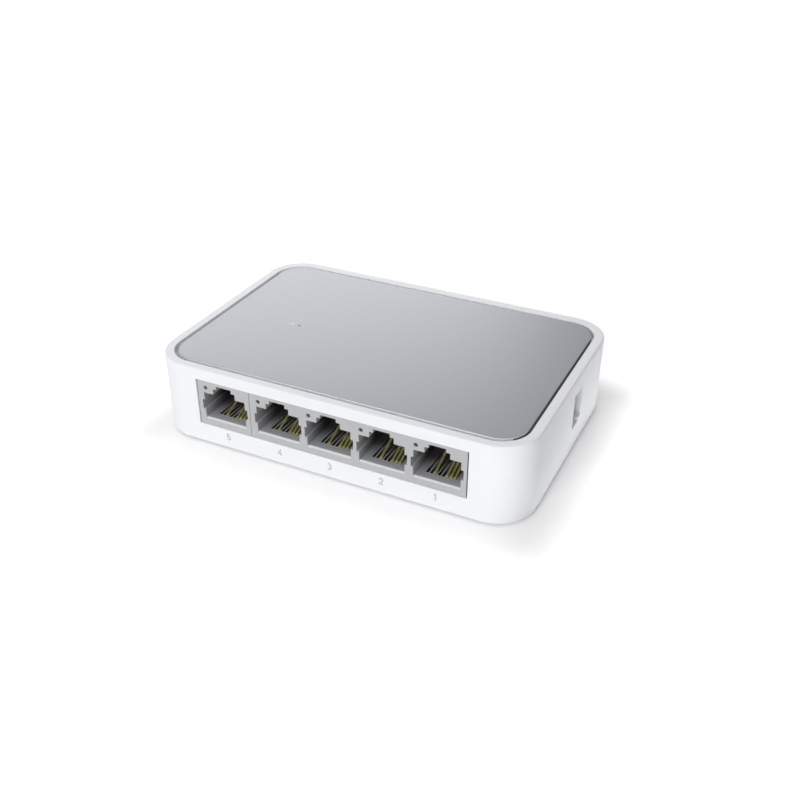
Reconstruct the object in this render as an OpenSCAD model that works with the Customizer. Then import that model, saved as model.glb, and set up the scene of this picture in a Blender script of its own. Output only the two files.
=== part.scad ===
// Five-port desktop network switch in millimetres.
// X runs right along the port wall, Y runs back from it, Z is up, and the feet stand on z = 0.

/* [Case] */
// length of the port wall, end to end
width = 103.5; // [101:0.5:108]
// from the port wall to the rear wall
depth = 70; // [69:0.5:76]
// height of the case without its feet
body_height = 22; // [22:0.5:26]
// how far the feet stand out below the case
foot_height = 0.5; // [0.3:0.1:1]
// plan radius of the case corners
corner_radius = 10.5; // [9.5:0.5:12]
// rounding of the case's upper and lower outer edges
edge_round = 0.5; // [0.3:0.1:1.2]
// thickness of the case walls
wall = 2.2; // [1.8:0.1:2.4]

/* [Top panel] */
// width of the white rim around the top panel
rim_width = 2.6; // [2.5:0.05:3]
// open gap between rim and panel
panel_gap = 0.8; // [0.5:0.1:1.4]
// how far the panel lies below the rim
panel_recess = 0.1; // [0.05:0.05:0.3]
// chamfer along the panel's upper edge
panel_chamfer = 0.2; // [0.1:0.05:0.8]
// how far the panel's pocket lies towards the port wall
pocket_shift = 0.2; // [0:0.05:0.4]
// how far the panel lies towards the port wall
panel_shift = 0; // [0:0.05:0.3]
// distance of the power indicator left of the middle
power_light_x = -25.4; // [-28:0.1:-22]
// distance of the power indicator behind the middle
power_light_y = -3; // [-4:0.1:0]

/* [Ports] */
// distance between neighbouring ports of the row of four
port_pitch = 14.46; // [14.3:0.02:14.5]
// distance from the fourth port to the single port
single_pitch = 15.76; // [15.7:0.01:15.9]
// middle of port 1, at the right end
port_1_x = 29.9; // [29.8:0.1:30.2]
// clear width of a port's mouth
mouth_width = 12.2; // [11.8:0.1:12.4]
// clear height of a port's mouth below its latch steps
mouth_height = 7.4; // [7:0.1:7.6]
// how far the jack faces lie behind the front wall's face
face_recess = 0.3; // [0.1:0.1:0.8]
// rise of the resting contact springs
spring_rise = 20; // [16:1:22]

/* [Power inlet] */
// middle of the inlet, left of the case's middle
inlet_x = -30; // [-31:0.5:-28]
// radius of the inlet's centre pin
inlet_pin_radius = 1; // [0.8:0.05:1.1]

/* [Side slot] */
// length of the slot along the side wall
slot_length = 7; // [5:0.5:9]
// height of the slot
slot_height = 9.8; // [7:0.1:10.5]
// middle of the slot behind the case's middle
slot_y = 5.2; // [4:0.1:9]
// length of the ledge at the slot's rear end
ledge_depth = 1.9; // [0.8:0.1:2.4]

/* [Hidden] */
$fn = 48;

// heights of the stacked layers
z_bottom = foot_height;
z_top = foot_height + body_height;
base_top = z_bottom + 2;
board_bottom = base_top + 2.05;
board_top = board_bottom + 1.6;
jack_height = 13;
jack_top = board_top + jack_height;
panel_top = z_top - panel_recess;
panel_thick = 1.7;
web_top = panel_top - panel_thick;
web_bottom = web_top - 1.2;

// plan positions
front = -depth / 2;
rear = depth / 2;
face = front + face_recess;
jack_depth = 15.5;
port_x = [port_1_x, port_1_x - port_pitch, port_1_x - 2 * port_pitch, port_1_x - 3 * port_pitch,
    port_1_x - 3 * port_pitch - single_pitch];
block_right = port_1_x + 7.6;
block_left = port_x[3] - 8.1;
single_right = block_left - 0.1;
single_left = port_x[4] - 7.95;
window_left = single_left - 0.15;
window_right = block_right + 0.35;
window_low = board_top - 0.05;
window_high = jack_top + 0.15;
slot_low = z_bottom + 7.15;
ledge_height = 1;
power_hole_radius = 0.35;
light_offset = -5.5;
light_height = 11.03;
light_radius = 0.5;
pipe_y = face + jack_depth + 1;

// fastening and board
boss_x = width / 2 - 9.25;
boss_y = depth / 2 - 9.5;
boss_radius = 2.8;
boss_places = [[-boss_x, -boss_y], [boss_x, -boss_y], [-boss_x, boss_y], [boss_x, boss_y]];
board_half = boss_x - boss_radius - 0.7;
board_front = front + wall + 0.5;
board_rear = rear - wall - 1.5;
standoff_places = [[-34.5, -13], [34.5, -13], [-19, board_rear - 4.3], [34.5, board_rear - 4.3]];
peg_places = [[-boss_x + 2, -10], [boss_x - 2, -10], [-boss_x + 2, 14], [boss_x - 2, 14]];
foot_radius = 4;

// contacts: places counted from the right, with the ones that carry a spring
contact_pitch = 1.02;
live_places = [1, 2, 3, 6];
spring_width = 0.5;
spring_thick = 0.25;
spring_length = 7.8;
root_depth = 3.05;
root_height = 2.3;
root_radius = 0.3;
slot_width = 0.64;
mouth_low = 2.15;
mouth_depth = 13;
sill_chamfer = 0.4;
groove_depth = 0.65;
groove_low = 4.6;
groove_height = 2.8;
groove_length = 10;
// latch steps above the mouth, as half width and rise
latch_steps = [[3.25, 1.6], [2.2, 2.6]];
comb_front = 2.5;

// power inlet
inlet_z = board_top + 6.5;
inlet_face = rear - wall - 0.5;
leaf_y = inlet_face - 12;
leaf_z = inlet_z - 4.4;

function place_x(place) = 3.5 * contact_pitch - (place - 1) * contact_pitch;
function leg_depth(place) = place % 2 == 1 ? 9.2 : 11.2;

// block with round plan corners and sharp edges, standing on z = 0
module plain_block(w, d, h, r) {
    translate([-w / 2 + r, -d / 2, 0])
        cube([w - 2 * r, d, h]);
    translate([-w / 2, -d / 2 + r, 0])
        cube([w, d - 2 * r, h]);
    for (sx = [-1, 1])
        for (sy = [-1, 1])
            translate([sx * (w / 2 - r), sy * (d / 2 - r), 0])
                cylinder(r = r, h = h);
}

// half section of a slab of half width a and height h, with its upper edge cut or both edges rounded
module half_section(a, h, cut, e) {
    if (cut)
        polygon([[0, 0], [a, 0], [a, h - e], [a - e, h], [0, h]]);
    else {
        square([a - e, h]);
        translate([0, e])
            square([a, h - 2 * e]);
        translate([a - e, e])
            circle(r = e);
        translate([a - e, h - e])
            circle(r = e);
    }
}

// both halves of that section
module full_section(a, h, cut, e) {
    half_section(a, h, cut, e);
    mirror([1, 0])
        half_section(a, h, cut, e);
}

// block with round plan corners and worked edges, standing on z = 0
module edged_block(w, d, h, r, cut, e) {
    translate([-w / 2 + r, 0, 0])
        rotate([90, 0, 90])
            linear_extrude(height = w - 2 * r)
                full_section(d / 2, h, cut, e);
    translate([0, d / 2 - r, 0])
        rotate([90, 0, 0])
            linear_extrude(height = d - 2 * r)
                full_section(w / 2, h, cut, e);
    for (turn = [0, 90, 180, 270]) {
        sx = turn == 0 || turn == 270 ? 1 : -1;
        sy = turn < 180 ? 1 : -1;
        translate([sx * (w / 2 - r), sy * (d / 2 - r), 0])
            rotate([0, 0, turn])
                rotate_extrude(angle = 90)
                    half_section(r, h, cut, e);
    }
}

// cut of a side slot, with a ledge left standing at its rear end
module slot_cut() {
    step = slot_length - ledge_depth;
    rotate([90, 0, 90])
        linear_extrude(height = 2 * wall)
            polygon([[0, 0], [step, 0], [step, ledge_height], [slot_length, ledge_height],
                [slot_length, slot_height], [0, slot_height]]);
}

// upright walls, rim and web under the top panel
module shell() {
    color([0.93, 0.93, 0.95])
    difference() {
        union() {
            difference() {
                translate([0, 0, z_bottom])
                    edged_block(width, depth, body_height, corner_radius, false, edge_round);
                translate([0, 0, z_bottom - 1])
                    plain_block(width - 2 * wall, depth - 2 * wall, web_bottom - z_bottom + 1,
                        corner_radius - wall);
            }
            for (p = boss_places)
                translate([p[0], p[1], base_top + 1])
                    cylinder(r = boss_radius, h = web_bottom - base_top - 0.5);
        }
        translate([0, -pocket_shift, web_top])
            plain_block(width - 2 * rim_width, depth - 2 * rim_width, 5, corner_radius - rim_width);
        translate([window_left, front - 1, window_low])
            cube([window_right - window_left, wall + 2, window_high - window_low]);
        for (side = [-1, 1])
            translate([side * (width / 2 - wall / 2) - wall, slot_y - slot_length / 2, slot_low])
                slot_cut();
        translate([inlet_x, rear - wall - 1, inlet_z])
            rotate([-90, 0, 0])
                cylinder(r = 4.4, h = wall + 2);
        for (p = boss_places)
            translate([p[0], p[1], base_top])
                cylinder(r = 1.25, h = 11.5);
        for (p = peg_places)
            translate([p[0], p[1], web_bottom - 1])
                cylinder(r = 1.25, h = 4);
        translate([power_light_x, power_light_y, web_bottom - 1])
            cylinder(r = 1, h = 4);
    }
}

// floor plate with board standoffs, screw holes and foot recesses
module base() {
    color([0.9, 0.9, 0.92])
    difference() {
        union() {
            translate([0, 0, z_bottom])
                plain_block(width - 2 * wall - 0.3, depth - 2 * wall - 0.3, 2, corner_radius - wall - 0.15);
            for (p = boss_places)
                translate([p[0], p[1], z_bottom + 1])
                    cylinder(r = boss_radius, h = 2);
            for (p = standoff_places)
                translate([p[0], p[1], z_bottom + 1])
                    cylinder(r = 2.5, h = board_bottom - z_bottom - 1);
        }
        for (p = boss_places) {
            translate([p[0], p[1], z_bottom - 1])
                cylinder(r = foot_radius + 0.1, h = 1.5);
            translate([p[0], p[1], z_bottom])
                cylinder(r = 2.5, h = 1.5);
            translate([p[0], p[1], z_bottom])
                cylinder(r = 1.4, h = 5);
        }
        for (p = standoff_places)
            translate([p[0], p[1], z_bottom + 0.8])
                cylinder(r = 1.2, h = 5);
    }
}

// satin cover plate with pegs that are staked under the web
module top_panel() {
    inset = rim_width + panel_gap;
    color([0.66, 0.67, 0.69])
    difference() {
        union() {
            translate([0, -panel_shift, web_top])
                edged_block(width - 2 * inset, depth - 2 * inset, panel_thick, corner_radius - inset, true,
                    panel_chamfer);
            for (p = peg_places) {
                translate([p[0], p[1], web_bottom - 0.9])
                    cylinder(r = 1.2, h = 2.5);
                translate([p[0], p[1], web_bottom - 0.9])
                    cylinder(r = 1.7, h = 0.9);
            }
        }
        translate([power_light_x, power_light_y, web_top - 1])
            cylinder(r = power_hole_radius, h = 4);
    }
}

// printed circuit board with holes for every leg, post, lug and screw
module circuit_board() {
    color([0.1, 0.36, 0.2])
    difference() {
        translate([-board_half, board_front, board_bottom])
            cube([2 * board_half, board_rear - board_front, board_top - board_bottom]);
        for (p = standoff_places)
            translate([p[0], p[1], board_bottom - 1])
                cylinder(r = 1.4, h = 4);
        for (x = [single_left + 2, single_right - 2, block_left + 2, block_right - 2])
            translate([x, face + 6.35, board_bottom - 1])
                cylinder(r = 1.65, h = 4);
        for (px = port_x)
            for (place = live_places)
                translate([px + place_x(place), face + leg_depth(place), board_bottom - 1])
                    cylinder(r = 0.42, h = 4, $fn = 24);
        translate([inlet_x - 1.3, inlet_face - 14.8, board_bottom - 1])
            cube([2.6, 0.8, 4]);
        translate([inlet_x - 1.3, leaf_y - 0.5, board_bottom - 1])
            cube([2.6, 0.8, 4]);
    }
}

// everything that is cut from a jack for one port, given from its face inwards
module port_cut(px) {
    half = mouth_width / 2;
    high = mouth_low + mouth_height;
    translate([px - half, face - 1, board_top + mouth_low])
        cube([mouth_width, mouth_depth + 1, mouth_height]);
    for (step = latch_steps)
        translate([px - step[0], face - 1, board_top + mouth_low])
            cube([2 * step[0], mouth_depth + 1, mouth_height + step[1]]);
    translate([px + half, face, board_top + mouth_low])
        rotate([0, -90, 0])
            linear_extrude(height = mouth_width)
                polygon([[-sill_chamfer, -1], [-sill_chamfer, 0], [0, sill_chamfer],
                    [1, sill_chamfer], [1, -1]]);
    translate([px - half - groove_depth, face - 1, board_top + groove_low])
        cube([mouth_width + 2 * groove_depth, groove_length + 1, groove_height]);
    translate([px - 4.3, face + comb_front - 0.05, board_top + 1.2])
        cube([8.6, mouth_depth - comb_front + 0.05, high - 1.2]);
    translate([px - 4, face + 8.5, board_top - 1])
        cube([8, 4, 4]);
    translate([px + light_offset, face - 1, board_top + light_height])
        rotate([-90, 0, 0])
            cylinder(r = light_radius + 0.05, h = jack_depth + 2);
}

// jack body between two ends, with a post near each end
module jack_body(left, right) {
    translate([left, face, board_top])
        cube([right - left, jack_depth, jack_height]);
    for (x = [left + 2, right - 2])
        translate([x, face + 6.35, board_top - 2.2])
            cylinder(r = 1.6, h = 3);
}

// jack housing of ports 1 to 4
module jack_block() {
    color([0.74, 0.75, 0.76])
    difference() {
        jack_body(block_left, block_right);
        for (k = [0:3])
            port_cut(port_x[k]);
    }
}

// jack housing of port 5
module jack_single() {
    color([0.74, 0.75, 0.76])
    difference() {
        jack_body(single_left, single_right);
        port_cut(port_x[4]);
    }
}

// slotted strip in a port's floor that keeps its springs apart
module comb(px) {
    color([0.42, 0.42, 0.43])
    difference() {
        translate([px - 4.25, face + comb_front, board_top + 1.2])
            cube([8.5, mouth_depth - comb_front - 0.05, mouth_low - 1.2]);
        for (place = [1:8]) {
            translate([px + place_x(place) - slot_width / 2, face + comb_front + 0.2, board_top + 1.7])
                cube([slot_width, mouth_depth, 2]);
            translate([px + place_x(place) - slot_width / 2, face + 8.7, board_top])
                cube([slot_width, mouth_depth, 4]);
        }
    }
}

// sprung wires of one port, each on a round root
module springs(px) {
    color([0.83, 0.68, 0.3])
    for (place = live_places)
        translate([px + place_x(place), face + root_depth, board_top + root_height]) {
            rotate([0, 90, 0])
                cylinder(r = root_radius, h = spring_width, center = true);
            rotate([spring_rise, 0, 0])
                translate([-spring_width / 2, 0, -spring_thick / 2])
                    cube([spring_width, spring_length, spring_thick]);
        }
}

// fixed wires of one port, lying in the comb and going down through the board
module tails(px) {
    color([0.8, 0.66, 0.32])
    for (place = live_places)
        translate([px + place_x(place), face, board_top]) {
            translate([-spring_width / 2, root_depth + 0.5, 1.7])
                cube([spring_width, leg_depth(place) - root_depth - 0.3, 0.25]);
            translate([-spring_width / 2, leg_depth(place) - 0.2, -2.9])
                cube([spring_width, 0.4, 4.85]);
        }
}

// clear rod from above an indicator chip to the jack's face
module light_pipe(px) {
    color([0.2, 0.42, 0.36])
    translate([px + light_offset, 0, board_top]) {
        translate([0, face + 0.1, light_height])
            rotate([-90, 0, 0])
                cylinder(r = light_radius, h = pipe_y - face - 0.1);
        translate([0, pipe_y, light_height])
            sphere(r = light_radius);
        translate([0, pipe_y, 0.85])
            cylinder(r = light_radius, h = light_height - 0.85);
    }
}

// indicator chips under the five light pipes
module port_light_chips() {
    color([0.9, 0.88, 0.7])
    for (px = port_x)
        translate([px + light_offset - 0.8, pipe_y - 0.5, board_top])
            cube([1.6, 1, 0.7]);
}

// indicator chip under the power light pipe
module power_light_chip() {
    color([0.9, 0.88, 0.7])
    translate([power_light_x - 0.8, power_light_y - 0.5, board_top])
        cube([1.6, 1, 0.7]);
}

// clear rod from the power indicator chip to the top panel
module power_light_pipe() {
    color([0.75, 0.8, 0.8])
    translate([power_light_x, power_light_y, 0]) {
        translate([0, 0, board_top + 0.85])
            cylinder(r = 0.9, h = web_top - board_top - 0.95);
        translate([0, 0, web_bottom - 1.2])
            cylinder(r = 1.7, h = 1.1);
        translate([0, 0, web_top - 0.2])
            cylinder(r = power_hole_radius - 0.05, h = panel_thick + 0.15);
    }
}

// moulded body of the power inlet
module inlet_housing() {
    color([0.08, 0.08, 0.09])
    difference() {
        translate([inlet_x - 4.5, inlet_face - 14, board_top])
            cube([9, 14, 11]);
        translate([inlet_x, inlet_face - 10, inlet_z])
            rotate([-90, 0, 0])
                cylinder(r = 3.15, h = 11);
        translate([inlet_x, inlet_face - 15, inlet_z])
            rotate([-90, 0, 0])
                cylinder(r = 1.25, h = 6);
        translate([inlet_x - 1.4, inlet_face - 13, inlet_z - 5.6])
            cube([2.8, 12, 4]);
        translate([inlet_x - 1.2, leaf_y - 0.4, board_top - 1])
            cube([2.4, 0.6, 3]);
    }
}

// centre pin of the power inlet, with a wider shank in the housing's back
module inlet_pin() {
    color([0.8, 0.8, 0.82])
    translate([inlet_x, 0, inlet_z])
        rotate([-90, 0, 0]) {
            translate([0, 0, inlet_face - 10])
                cylinder(r = inlet_pin_radius, h = 8.8);
            translate([0, 0, inlet_face - 14.2])
                cylinder(r = 1.2, h = 4.2);
        }
}

// sprung leaf that touches the side of a plug, on a round root
module inlet_leaf() {
    color([0.8, 0.8, 0.82])
    translate([inlet_x, leaf_y, leaf_z]) {
        rotate([0, 90, 0])
            cylinder(r = 0.35, h = 2, center = true);
        rotate([12.6, 0, 0])
            translate([-1, 0, -0.15])
                cube([2, 8.6, 0.3]);
    }
}

// solder lugs of the pin and of the leaf
module inlet_lugs() {
    color([0.75, 0.75, 0.77])
    translate([inlet_x - 1, 0, 0]) {
        translate([0, inlet_face - 14.7, board_bottom - 1.3])
            cube([2, 0.5, inlet_z + 1.2 - board_bottom + 1.3]);
        translate([0, leaf_y - 0.3, board_bottom - 1.3])
            cube([2, 0.4, leaf_z - 0.45 - board_bottom + 1.3]);
    }
}

// moulded body of the switch chip
module switch_chip() {
    color([0.12, 0.12, 0.13])
    translate([3, -2, board_top + 0.15])
        cube([10, 10, 1.6]);
}

// leads on the four sides of the switch chip
module switch_chip_leads() {
    color([0.75, 0.76, 0.78])
    translate([8, 3, board_top])
        for (turn = [0, 90, 180, 270])
            rotate([0, 0, turn])
                for (k = [0:9])
                    translate([-3.75 + 0.8 * k, 5, 0]) {
                        cube([0.3, 1, 0.15]);
                        cube([0.3, 0.15, 0.9]);
                    }
}

// transformer module of ports 1 to 4
module transformer_long() {
    color([0.14, 0.14, 0.15])
    translate([-12, -14.5, board_top])
        cube([40, 8.5, 5.6]);
}

// transformer module of port 5
module transformer_short() {
    color([0.14, 0.14, 0.15])
    translate([-29, -14.5, board_top])
        cube([12.7, 7.2, 5.6]);
}

// clock crystal can
module crystal() {
    color([0.8, 0.8, 0.82])
    translate([-8, 3, board_top]) {
        translate([-3.1, -2.2, 0])
            cube([6.2, 4.4, 3.5]);
        for (side = [-1, 1])
            translate([side * 3.1, 0, 0])
                cylinder(r = 2.2, h = 3.5);
    }
}

// electrolytic capacitor with a grooved can
module can_capacitor(r, h) {
    cylinder(r = r, h = 1.2);
    cylinder(r = r - 0.25, h = 2);
    translate([0, 0, 1.8])
        cylinder(r = r, h = h - 1.8);
}

// input capacitor near the inlet
module capacitor_large() {
    color([0.15, 0.18, 0.3])
    translate([-12, 22, board_top])
        can_capacitor(3.15, 8);
}

// output capacitor near the switch chip
module capacitor_small() {
    color([0.15, 0.18, 0.3])
    translate([-18, 10, board_top])
        can_capacitor(2.5, 7);
}

// wound drum inductor
module inductor() {
    color([0.2, 0.2, 0.21])
    translate([-3, 15, board_top]) {
        cylinder(r = 3.5, h = 1);
        cylinder(r = 2.8, h = 4);
        translate([0, 0, 3])
            cylinder(r = 3.5, h = 1);
    }
}

// voltage regulator with its tab
module regulator() {
    color([0.12, 0.12, 0.13])
    translate([8, 18, board_top]) {
        translate([-3.3, -1.8, 0])
            cube([6.6, 3.6, 1.7]);
        translate([-1.6, 1.6, 0])
            cube([3.2, 2, 0.3]);
    }
}

// small surface-mounted resistors and capacitors
module chip_parts() {
    color([0.55, 0.45, 0.35])
    for (row = [0, 1])
        for (k = [0:5])
            translate([18 + 3 * k, -2 + 6 * row, board_top])
                cube([2, 1.25, 0.7]);
}

// stick-on foot over one base screw
module foot(place) {
    color([0.2, 0.2, 0.2])
    translate([boss_places[place][0], boss_places[place][1], 0])
        cylinder(r = foot_radius, h = z_bottom + 0.5);
}

// screws that hold the base to the case's bosses
module base_screws() {
    color([0.7, 0.7, 0.72])
    for (p = boss_places)
        translate([p[0], p[1], z_bottom + 0.5]) {
            cylinder(r = 2.2, h = 1);
            cylinder(r = 1.2, h = 9.5);
        }
}

// screws that hold the board to the standoffs
module board_screws() {
    color([0.7, 0.7, 0.72])
    for (p = standoff_places)
        translate([p[0], p[1], 0]) {
            translate([0, 0, board_top])
                cylinder(r = 2.2, h = 1.4);
            translate([0, 0, base_top - 0.6])
                cylinder(r = 1.15, h = board_top - base_top + 1);
        }
}

shell();
base();
top_panel();
circuit_board();
jack_block();
jack_single();
springs(port_x[0]);  // port_1_springs
springs(port_x[1]);  // port_2_springs
springs(port_x[2]);  // port_3_springs
springs(port_x[3]);  // port_4_springs
springs(port_x[4]);  // port_5_springs
tails(port_x[0]);  // port_1_tails
tails(port_x[1]);  // port_2_tails
tails(port_x[2]);  // port_3_tails
tails(port_x[3]);  // port_4_tails
tails(port_x[4]);  // port_5_tails
comb(port_x[0]);  // port_1_comb
comb(port_x[1]);  // port_2_comb
comb(port_x[2]);  // port_3_comb
comb(port_x[3]);  // port_4_comb
comb(port_x[4]);  // port_5_comb
light_pipe(port_x[0]);  // port_1_light_pipe
light_pipe(port_x[1]);  // port_2_light_pipe
light_pipe(port_x[2]);  // port_3_light_pipe
light_pipe(port_x[3]);  // port_4_light_pipe
light_pipe(port_x[4]);  // port_5_light_pipe
port_light_chips();
power_light_chip();
power_light_pipe();
inlet_housing();
inlet_pin();
inlet_leaf();
inlet_lugs();
switch_chip();
switch_chip_leads();
transformer_long();
transformer_short();
crystal();
capacitor_large();
capacitor_small();
inductor();
regulator();
chip_parts();
foot(0);  // foot_front_left
foot(1);  // foot_front_right
foot(2);  // foot_rear_left
foot(3);  // foot_rear_right
base_screws();
board_screws();
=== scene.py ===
"""Looks of a five-port desktop network switch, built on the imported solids."""
import math
from itertools import product

import bmesh
import bpy
from mathutils import Matrix, Vector
from mathutils.geometry import tessellate_polygon


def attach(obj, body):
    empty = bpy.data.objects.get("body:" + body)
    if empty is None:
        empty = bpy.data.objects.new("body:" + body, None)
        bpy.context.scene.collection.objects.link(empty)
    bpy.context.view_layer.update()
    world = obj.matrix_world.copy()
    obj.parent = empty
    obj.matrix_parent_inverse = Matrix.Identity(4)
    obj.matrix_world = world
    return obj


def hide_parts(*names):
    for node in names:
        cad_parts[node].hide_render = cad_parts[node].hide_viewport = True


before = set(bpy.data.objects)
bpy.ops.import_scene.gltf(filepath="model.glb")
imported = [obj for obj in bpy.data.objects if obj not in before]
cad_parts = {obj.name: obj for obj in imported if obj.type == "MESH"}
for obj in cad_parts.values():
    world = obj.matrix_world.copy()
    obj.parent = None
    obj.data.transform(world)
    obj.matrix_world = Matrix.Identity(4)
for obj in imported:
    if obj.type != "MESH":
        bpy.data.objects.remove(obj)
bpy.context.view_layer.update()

# Sizes in millimetres, as in the part's source.
MM = 0.001
WIDTH, DEPTH = 103.5, 70.0
FRONT, REAR = -DEPTH / 2, DEPTH / 2
Z_BOTTOM, Z_TOP = 0.5, 22.5
CORNER, EDGE, WALL = 10.5, 0.5, 2.2
RIM, RIM_ROUND, POCKET_SHIFT, HOLE_ROUND = 2.6, 0.12, 0.2, 0.2
PANEL_INSET, EDGE_REACH = 3.4, 2.0
PANEL_TOP, PANEL_CHAMFER, CHAMFER_SHIFT = 22.4, 0.2, 0.12
WEB_TOP, WEB_BOTTOM = 20.7, 19.5
BASE_TOP, BOARD_TOP = 2.5, 6.15
BOSS_X, BOSS_Y, BOSS_BORE, BOSS_RADIUS, BOSS_LIFT = 42.5, 25.5, 1.25, 2.8, 1.0
BOSSES = [(x, y) for x in (-BOSS_X, BOSS_X) for y in (-BOSS_Y, BOSS_Y)]
PEGS = [(x, y) for x in (-40.5, 40.5) for y in (-10.0, 14.0)]
PEG_HEAD, PEG_HEAD_HEIGHT, PEG_RADIUS, PEG_SUNK = 1.7, 0.9, 1.2, 0.2
WINDOW = (-37.34, 37.85, 6.1, 19.3)
SLOT = (1.7, 8.7, 7.65, 17.45)
LEDGE_Y, LEDGE_Z = SLOT[1] - 1.9, SLOT[2] + 1.0
POWER_LIGHT, POWER_HOLE, POWER_CLEAR = (-25.4, -3.0), 0.35, 1.0
FACE = -34.7
PORT_X = [29.9, 15.44, 0.98, -13.48, -29.24]
BLOCK = (-21.58, 37.5)
SINGLE = (-37.19, -21.68)
JACK_DEPTH, JACK_HEIGHT, JACK_ROUND = 15.5, 13.0, 0.09
JACK_PEG_INSET, JACK_PEG_DEPTH = 2.0, 6.35
JACK_PEG = ((1.3, -2.2), (1.6, -1.8), (1.6, 0.5))
MOUTH_LOW, MOUTH_HIGH, MOUTH_HALF, MOUTH_DEPTH = 2.15, 9.55, 6.1, 13.0
SILL_CHAMFER = 0.4
LATCH_STEPS = ((3.25, 11.15), (2.2, 12.15))
GROOVE_HALF, GROOVE_LOW, GROOVE_HIGH, GROOVE_DEPTH = 6.75, 4.6, 7.4, 10.0
COMB_DEPTH, COMB_HALF, COMB_LOW = 2.45, 4.3, 1.2
COMB_FRONT, COMB_LIP, COMB_STEP, COMB_END = 2.5, 2.7, 8.7, 12.95
COMB_PLATE_HALF, COMB_SLOT_HALF, COMB_SLOT_LOW, COMB_ROUND = 4.25, 0.32, 1.7, 0.06
LIGHT_DX, LIGHT_Z = -5.5, 11.03
LIGHT_SQUARE, LIGHT_HOLE, LIGHT_TUNNEL = 0.75, 0.55, 2.0
PIPE_RADIUS, PIPE_BEND, PIPE_FOOT, PIPE_BEHIND = 0.5, 0.9, 0.85, 1.0
PLACES, PITCH = 8, 1.02
LIVE = (1, 2, 3, 6)
ROOT_Y, ROOT_Z = -31.65, 8.45
WIRE_HALF, WIRE_HALF_THICK = 0.3, 0.125
INLET_X, INLET_Z, INLET_FACE = -30.0, 12.65, 32.3
INLET_SQUARE, INLET_BORE, INLET_WIDER = 6.0, 4.4, 0.4
LEAF_ROOT, LEAF_HALF, LEAF_HALF_THICK = (20.3, 8.25), 1.0, 0.15
NUMBER_X, NUMBER_Z, NUMBER_STROKE = (29.88, 15.4, 1.08, -13.25, -28.75), 3.0, 0.19
SIGN_DX, SIGN_RADIUS, SIGN_STROKE = -2.5, 0.75, 0.13
PRINT_SUNK, PRINT_LIFTS = 0.004, (0.012, 0.018)
SLACK = 0.01
ROUND_STEPS = 24


# Node materials

NOISE_LOW, NOISE_HIGH = 0.3, 0.7


class Shader:
    """A Principled material whose sockets are fed by object-space noise."""

    def __init__(self, name, rough, metallic=0.0, **sockets):
        self.material = bpy.data.materials.new(name)
        self.material.use_nodes = True
        tree = self.material.node_tree
        self.nodes, self.links = tree.nodes, tree.links
        self.surface = self.nodes["Principled BSDF"]
        self.surface.inputs["Metallic"].default_value = metallic
        self.surface.inputs["Roughness"].default_value = rough
        for key, value in sockets.items():
            self.surface.inputs[key.replace("_", " ")].default_value = value
        self.place = self.nodes.new("ShaderNodeTexCoord").outputs["Object"]

    def noise(self, size_mm, detail=3.0, rough=0.55, stretch=None):
        place = self.place
        if stretch:
            mapping = self.nodes.new("ShaderNodeMapping")
            mapping.inputs["Scale"].default_value = stretch
            self.links.new(place, mapping.inputs["Vector"])
            place = mapping.outputs["Vector"]
        node = self.nodes.new("ShaderNodeTexNoise")
        node.inputs["Scale"].default_value = 1000.0 / size_mm
        node.inputs["Detail"].default_value = detail
        node.inputs["Roughness"].default_value = rough
        self.links.new(place, node.inputs["Vector"])
        return node.outputs["Fac"]

    def colour(self, factor, dark, light, low=NOISE_LOW, high=NOISE_HIGH):
        ramp = self.nodes.new("ShaderNodeValToRGB")
        ramp.color_ramp.elements[0].position = low
        ramp.color_ramp.elements[0].color = (*dark, 1.0)
        ramp.color_ramp.elements[1].position = high
        ramp.color_ramp.elements[1].color = (*light, 1.0)
        self.links.new(factor, ramp.inputs["Fac"])
        self.links.new(ramp.outputs["Color"], self.surface.inputs["Base Color"])
        return self

    def gloss(self, factor, low, high):
        span = self.nodes.new("ShaderNodeMapRange")
        span.inputs["From Min"].default_value = NOISE_LOW
        span.inputs["From Max"].default_value = NOISE_HIGH
        span.inputs["To Min"].default_value = low
        span.inputs["To Max"].default_value = high
        self.links.new(factor, span.inputs["Value"])
        self.links.new(span.outputs["Result"], self.surface.inputs["Roughness"])
        return self

    def fade(self, near, far, dark):
        """Painted shade: turn the base colour dark between two places along Y, in millimetres, as shade
        deepens into a hollow.
        """
        split = self.nodes.new("ShaderNodeSeparateXYZ")
        self.links.new(self.place, split.inputs[0])
        span = self.nodes.new("ShaderNodeMapRange")
        span.interpolation_type = "SMOOTHSTEP"
        span.inputs["From Min"].default_value = near * MM
        span.inputs["From Max"].default_value = far * MM
        self.links.new(split.outputs["Y"], span.inputs["Value"])
        mix = self.nodes.new("ShaderNodeMix")
        mix.data_type = "RGBA"
        factor, plain, deep = [s for s in mix.inputs if s.enabled]
        base = self.surface.inputs["Base Color"]
        self.links.new(span.outputs["Result"], factor)
        self.links.new(base.links[0].from_socket, plain)
        deep.default_value = (*dark, 1.0)
        self.links.new([s for s in mix.outputs if s.enabled][0], base)
        return self

    def bump(self, factor, strength, height_mm):
        node = self.nodes.new("ShaderNodeBump")
        node.inputs["Strength"].default_value = strength
        node.inputs["Distance"].default_value = height_mm * MM
        self.links.new(factor, node.inputs["Height"])
        self.links.new(node.outputs["Normal"], self.surface.inputs["Normal"])
        return self


def tint(colour, share):
    return tuple(min(1.0, channel * share) for channel in colour)


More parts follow.
